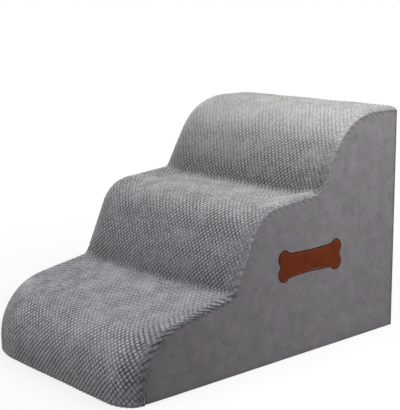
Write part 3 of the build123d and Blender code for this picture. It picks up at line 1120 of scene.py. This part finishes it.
def make_grip_dots():
    """Dots in staggered rows, well inside the edges of the bottom."""
    points = []
    row_pitch = dot_pitch * math.sqrt(3) / 2
    rows = int(2 * half_width / row_pitch)
    for row in range(rows + 1):
        x = (row - rows / 2) * row_pitch
        if abs(x) > half_width - dot_side_margin:
            continue
        front, rear = bottom_edges(x)
        y = -half_length + (dot_pitch / 2 if row % 2 else 0.0)
        while y < half_length:
            if front + dot_margin < y < rear - dot_margin:
                points.append((x, y, dot_height))
            y += dot_pitch
    dots = loose_points("grip_rubber_dots", points)
    return grow(dots, dot_tree, finish=rubber, radius=dot_radius * mm, height=dot_height * mm)


mount_padded(make_bottom_panel(), "grip_cloth", "bottom_panel")
mount(make_grip_dots(), "grip_rubber", "grip_dots")


# Foam and liner


def make_filling(name, inset, material):
    """The stairs' whole form inside the cover, as a closed block with rounded sides."""
    rear, bottom = inset + 3.0, inset - 0.2
    half = half_width - inset
    places = set()
    for side in (-1, 1):
        places.update(rolled_places(side, half, side_rounding[side][2] - inset, 12))
    points = []
    for x in sorted(places):
        edge, corner = rolls_at(x, half, inset)
        track = side_track(x, inset + corner, inset + edge, rear + edge, bottom, nose_growth * corner)
        for part in track:
            steps = 10 if part[3] else 12
            points += [(x, *point_on(part, n / steps)) for n in range(steps)]
        points.append((x, *point_on(track[-1], 1.0)))
    count = len(points) // len(places)
    faces = ring_faces(len(places), count) + [list(range(count))]
    return new_piece(name, points, faces, material)


mount_padded(make_filling("foam_liner_cloth", liner_inset, liner_cloth), "liner_cloth", "foam_liner")
mount_padded(make_filling("foam_block", foam_inset, foam), "foam", "foam_core")


# Zipper


def make_tape(name, side):
    """A woven tape behind the slot, thicker along the edge that carries the coil."""
    steps = 120
    levels = [1.6, 2.6, 3.4, 4.2, 6.0, 9.0, 12.0, 13.6, 14.4, 15.0]
    raised = [0.0, 0.15, 0.1, -0.05, 0.0, 0.0, 0.0, 0.08, 0.08, 0.0]
    points = []
    for level, lift in zip(levels, raised):
        for x in spaced(-tape_reach, tape_reach, steps):
            ripple = 0.12 * noise.noise(Vector((x / 14, level / 9, side)))
            closed = tape_closing * eased((abs(x) - chain_reach) / 4) if level < 2 else 0.0
            points.append((x, tape_depth + lift * 0.5 + ripple, zip_level + side * (level - closed)))
    piece = new_piece(name, points, grid_faces(len(levels), steps + 1, flip=side > 0), tape_cloth)
    thicken(piece, tape_thickness)
    return settle(piece)


def make_coil(name, side):
    """Turns of nylon along the edge of a tape, half a pitch from those of the other tape.

    The turns stand apart where the slider's neck ends when the zipper is open."""
    points, heights = [], []
    for n in range(int(coil_length / coil_pitch)):
        x = coil_start + coil_pitch * (n + 0.25 * side)
        apart = 1 - eased((abs(x - open_neck) - 2.6) / 3)
        points.append((x, coil_depth, zip_level + side * (coil_offset + coil_parting * apart)))
        heights.append(1 - coil_squeeze * apart)
    piece = loose_points(name, points)
    piece.data.attributes.new("squeeze", "FLOAT", "POINT").data.foreach_set("value", heights)
    return grow(piece, coil_tree, finish=nylon, lean=0.3 * side)


for side, level in ((1, "upper"), (-1, "lower")):
    mount(make_tape(f"zipper_tape_cloth_{level}", side), "zip_tape", f"zipper_tape_{level}")
    mount(make_coil(f"zipper_coil_turns_{level}", side), "zip_coil", f"zipper_coil_{level}")

for node in ("zipper_top_stops", "zipper_bottom_stop", "zipper_slider", "zipper_pull"):
    metal_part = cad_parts[node].data
    metal_part.materials.clear()
    metal_part.materials.append(nickel)


# Bone patch


def arc(middle, radius, first, last, steps):
    """Points on an arc from one heading towards another, without the last."""
    headings = spaced(first, last, steps)[:-1]
    return [(middle[0] + radius * math.cos(now), middle[1] + radius * math.sin(now)) for now in headings]


def bone_quarter(inset):
    """A quarter of the bone's outline, from the middle of its top to the notch at its right end."""
    along, up = bone_length / 2 - knob_radius, bone_height / 2 - knob_radius
    lean = math.hypot(1.0, bone_flare)
    rise = bone_waist / 2 + neck_radius * lean - up
    half = bone_flare * rise - along
    spare = along**2 + rise**2 - (knob_radius + neck_radius) ** 2
    neck_along = (-half - math.sqrt(half**2 - lean**2 * spare)) / lean**2
    neck_up = up + bone_flare * neck_along + rise
    bend = neck_radius + inset
    foot = (neck_along + bend * bone_flare / lean, neck_up - bend / lean)
    line = list(zip(spaced(0.0, foot[0], 14), spaced(bone_waist / 2 - inset * lean, foot[1], 14)))[:-1]
    from_waist = math.atan2(-1.0, bone_flare)
    to_knob = math.atan2(up - neck_up, along - neck_along)
    line += arc((neck_along, neck_up), bend, from_waist, to_knob, 8)
    notch_along = along + math.sqrt((knob_radius + notch_radius) ** 2 - up**2)
    shoulder = math.atan2(neck_up - up, neck_along - along)
    cheek = math.atan2(-up, notch_along - along)
    line += arc((along, up), knob_radius - inset, shoulder, cheek, 16)
    reach = notch_radius + inset
    line += arc((notch_along, 0.0), reach, math.pi + cheek, math.pi, 5)
    return line + [(notch_along - reach, 0.0)]


def bone_ring(inset, level):
    """The bone's whole outline at an inset, on the right side, as points in millimetres."""
    quarter = bone_quarter(inset)
    ring = list(quarter)
    ring += [(y, -z) for y, z in reversed(quarter[:-1])]
    ring += [(-y, -z) for y, z in quarter[1:]]
    ring += [(-y, z) for y, z in reversed(quarter[1:-1])]
    return [(level, patch_middle[0] + y, patch_middle[1] + z) for y, z in ring]


def make_bone_patch():
    """Leather with a rounded cut edge, pressed in along its stitches and slightly crowned."""
    insets = [0.0, -0.05, 0.1, 0.4, 0.9, 1.8, 2.6, 3.1, 3.4, 3.7, 4.3, 5.4, 7.5, 10.0, 12.6]
    rises = [-0.5, 0.25, 0.62, 0.9, 1.02, 1.02, 0.84, 0.62, 0.55, 0.62, 0.9, 1.08, 1.16, 1.2, 1.2]
    points, seam = [], []
    for inset, rise in zip(insets, rises):
        ring = bone_ring(inset, patch_floor + rise)
        points += ring
        seam += [(n * 3.0, inset) for n in range(len(ring))]
    faces = ring_faces(len(insets), len(points) // len(insets))
    return new_piece("bone_leather", points, faces, leather, seam=seam)


mount_padded(make_bone_patch(), "patch_leather", "bone_patch")
patch_line = [bone_ring(patch_seam, patch_floor + 0.72)]
rightward = (1.0, 0.0, 0.0)
patch_stitches = stitch_line("bone_stitches", patch_line, True, rightward, patch_thread, patch_stitch)
mount(patch_stitches, "patch_thread", "patch_thread")


# Floor, light and camera


def seen_directly(graph):
    """1 where the camera, a reflection or a look through glass meets a surface, and 0 elsewhere."""
    rays = graph.node("ShaderNodeLightPath").outputs
    kinds = ("Is Camera Ray", "Is Glossy Ray", "Is Transmission Ray")
    camera, glossy, through = (Field(graph, rays[kind]) for kind in kinds)
    return graph.math("MAXIMUM", camera, graph.math("MAXIMUM", glossy, through))


def make_floor():
    """A plain pale floor that runs out of the picture, with the stairs' soft shadow on it."""
    mesh = bpy.data.meshes.new("floor")
    reach = 60.0
    corners = [(-reach, -reach, 0), (reach, -reach, 0), (reach, reach, 0), (-reach, reach, 0)]
    mesh.from_pydata(corners, [], [(0, 1, 2, 3)])
    material = bpy.data.materials.new("pale floor")
    material.use_nodes = True
    material.node_tree.nodes.clear()
    graph = Graph(material.node_tree)
    direct = seen_directly(graph)
    away = graph.field("ShaderNodeVectorMath", {0: graph.place()}, "Value", operation="LENGTH")
    white = graph.spread(away, 0.35, 1.2, 0.74, 1.0) * direct
    shade = graph.blend(direct, paint(132, 132, 132), paint(250, 250, 250))
    paper = graph.field("ShaderNodeBsdfDiffuse", {"Color": shade})
    glow = graph.field("ShaderNodeEmission", {"Color": (1.0, 1.0, 1.0, 1.0), "Strength": 1.0})
    both = graph.field("ShaderNodeMixShader", {0: white, 1: paper, 2: glow})
    graph.node("ShaderNodeOutputMaterial", {"Surface": both})
    mesh.materials.append(material)
    add_object("floor", mesh)


def make_world():
    """Soft white light from all around, and a white background where it is seen."""
    world = bpy.data.worlds.new("studio")
    world.use_nodes = True
    world.node_tree.nodes.clear()
    graph = Graph(world.node_tree)
    around = {"Color": (1.0, 1.0, 1.0, 1.0), "Strength": seen_directly(graph) * 0.95 + 0.05}
    graph.node("ShaderNodeOutputWorld", {"Surface": graph.field("ShaderNodeBackground", around)})
    bpy.context.scene.world = world


def add_lamp(name, place, aim, size, power):
    """A square soft box at a place in metres, turned to its aim."""
    lamp = bpy.data.lights.new(name, "AREA")
    lamp.size = size
    lamp.energy = power
    holder = add_object(name, lamp)
    holder.location = place
    holder.rotation_euler = (Vector(place) - Vector(aim)).to_track_quat("Z", "Y").to_euler()


def place_camera():
    """The photograph's viewing angle, distance and lens."""
    azimuth, elevation, roll = (math.radians(angle) for angle in camera_angles)
    level = math.cos(elevation)
    back = Vector((math.sin(azimuth) * level, -math.cos(azimuth) * level, math.sin(elevation)))
    right = Vector((0.0, 0.0, 1.0)).cross(back).normalized()
    upward = back.cross(right)
    level_right = right * math.cos(roll) + upward * math.sin(roll)
    level_up = upward * math.cos(roll) - right * math.sin(roll)
    lens = bpy.data.cameras.new("camera")
    lens.sensor_width = 36.0
    lens.lens = focal_length * lens.sensor_width / picture_size
    lens.shift_x = shift_right / picture_size
    lens.shift_y = shift_up / picture_size
    lens.clip_end = 200.0
    turned = Matrix((level_right, level_up, back)).transposed().to_4x4()
    turned.translation = Vector(camera_place)
    camera = add_object("camera", lens)
    camera.matrix_world = turned
    bpy.context.scene.camera = camera


make_floor()
make_world()
lamps = [
    ("side soft box", (2.0, -0.8, 1.3), (0.0, 0.0, 0.2), 1.2, 24.4),
    ("front soft box", (-0.3, -1.2, 1.9), (0.0, 0.0, 0.2), 1.2, 11.4),
    ("middle top soft box", (0.0, -0.45, 1.1), (0.0, 0.1, 0.3), 0.6, 1.4),
    ("rear top soft box", (0.45, 0.22, 0.95), (0.1, 0.1, 0.3), 0.4, 3.4),
    ("rear side soft box", (0.75, 0.45, 0.8), (0.1, 0.1, 0.3), 0.4, 1.9),
    ("left soft box", (-2.2, 0.3, 0.7), (0.0, 0.0, 0.2), 1.2, 26.0),
    ("back soft box", (0.2, 2.2, 0.7), (0.0, 0.3, 0.2), 1.2, 24.0),
]
for lamp in lamps:
    add_lamp(*lamp)
place_camera()
bpy.context.scene.view_settings.view_transform = "Standard"
